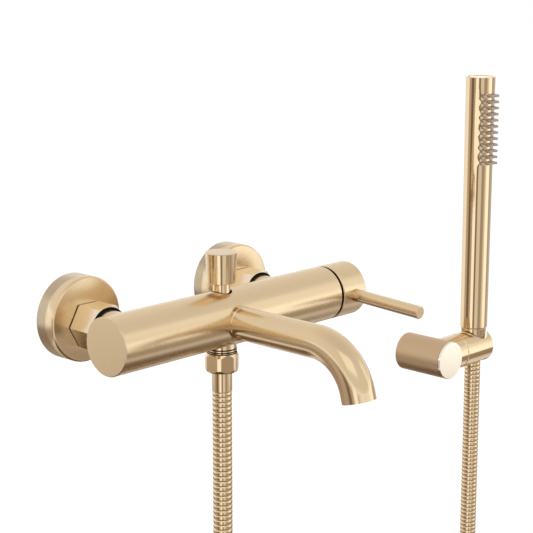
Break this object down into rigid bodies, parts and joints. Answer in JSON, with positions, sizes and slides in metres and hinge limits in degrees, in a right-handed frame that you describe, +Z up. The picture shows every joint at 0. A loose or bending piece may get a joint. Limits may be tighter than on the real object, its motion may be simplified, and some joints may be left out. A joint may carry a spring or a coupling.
{
  "type": "bath shower mixer",
  "caption": "Wall-mounted bath shower mixer bar with side lever, bath spout and diverter, joined by a metal hose to a slim hand shower in a swivelling wall holder.",
  "frame": {"origin": "on the finished wall, midway between the two water supplies and at their height", "axes": "+X to the right for someone facing the wall, +Y into the wall, +Z up"},
  "size_m": [0.477, 0.228, 0.6633],
  "materials": {
    "brushed_brass": "fine brushed satin champagne brass",
    "polished_brass": "polished facing disc",
    "hose_brass": "brass-coloured double-lock metal hose",
    "raw_brass": "machined brass",
    "ceramic": "lapped ceramic",
    "white_plastic": "moulded plastic",
    "grey_plastic": "moulded plastic",
    "clear_silicone": "translucent silicone",
    "black_rubber": "rubber seal",
    "steel": "stainless steel"
  },
  "bodies": {
    "mixer": {"mixer_body": "brushed_brass", "rosette_left": "brushed_brass", "rosette_right": "brushed_brass", "union_nut_left": "brushed_brass", "union_nut_right": "brushed_brass", "spout": "brushed_brass", "outlet_nipple": "brushed_brass", "hose_nut": "brushed_brass", "hose_ferrule": "brushed_brass", "bracket_post": "brushed_brass", "bracket_arm": "brushed_brass", "bracket_cap": "polished_brass", "hose_leg_mixer": "hose_brass", "hose_coil": "hose_brass", "hose_leg_handset": "hose_brass", "eccentric_left": "raw_brass", "eccentric_right": "raw_brass", "inlet_tail_left": "raw_brass", "inlet_tail_right": "raw_brass", "cartridge_nut": "raw_brass", "diverter_guide": "raw_brass", "disc_fixed": "ceramic", "cartridge_housing": "white_plastic", "aerator_insert": "white_plastic", "check_valves": "grey_plastic", "aerator_housing": "grey_plastic", "union_washers": "black_rubber", "spout_seal": "black_rubber", "outlet_washer": "black_rubber", "hose_tie": "black_rubber", "friction_washer": "black_rubber", "diverter_spring": "steel", "swivel_bolt": "steel", "bracket_plate": "steel", "bracket_grub_screw": "steel"},
    "temperature": {"cartridge_rotor": "white_plastic", "stem_pin": "steel"},
    "flow": {"cartridge_stem": "steel", "handle_cap": "brushed_brass", "lever_rod": "brushed_brass", "lever_grub_screw": "steel"},
    "disc": {"disc_moving": "ceramic", "disc_carrier": "white_plastic"},
    "diverter": {"diverter_knob": "brushed_brass", "diverter_stem": "raw_brass", "diverter_valve": "black_rubber"},
    "holder": {"holder": "brushed_brass"},
    "handset": {"handset_tube": "brushed_brass", "handset_cap": "brushed_brass", "nozzle_strip": "clear_silicone", "handset_liner": "white_plastic", "handset_nipple": "raw_brass", "flow_restrictor": "grey_plastic", "hose_cone_nut": "brushed_brass", "cone_washer": "black_rubber"}
  },
  "joints": [
    {"name": "temperature_turn", "type": "hinge", "parent": "mixer", "child": "temperature", "pos_m": [0.11, -0.075, -0.003], "axis": [1, 0, 0], "range_deg": [-45, 45]},
    {"name": "flow_tilt", "type": "hinge", "parent": "temperature", "child": "flow", "pos_m": [0.102, -0.075, -0.003], "axis": [0, 0, 1], "range_deg": [0, 18]},
    {"name": "disc_slide", "type": "slide", "parent": "temperature", "child": "disc", "axis": [0, -1, 0], "range_m": [0, 0.0028]},
    {"name": "diverter_lift", "type": "slide", "parent": "mixer", "child": "diverter", "axis": [0, 0, 1], "range_m": [0, 0.008], "stiffness_N_per_m": 60, "springref_m": -0.02, "deforming": ["diverter_spring"]},
    {"name": "holder_swivel", "type": "hinge", "parent": "mixer", "child": "holder", "pos_m": [0.345, -0.0325, -0.1017], "axis": [1, 0, 0], "range_deg": [-4, 30], "deforming": ["hose_leg_handset"]},
    {"name": "handset_lift", "type": "slide", "parent": "holder", "child": "handset", "axis": [0, 0, 1], "range_m": [0, 0.035], "deforming": ["hose_leg_handset"]}
  ],
  "couplings": [
    {"joint": "disc_slide", "follows": "flow_tilt", "m_per_rad": 0.0085}
  ]
}
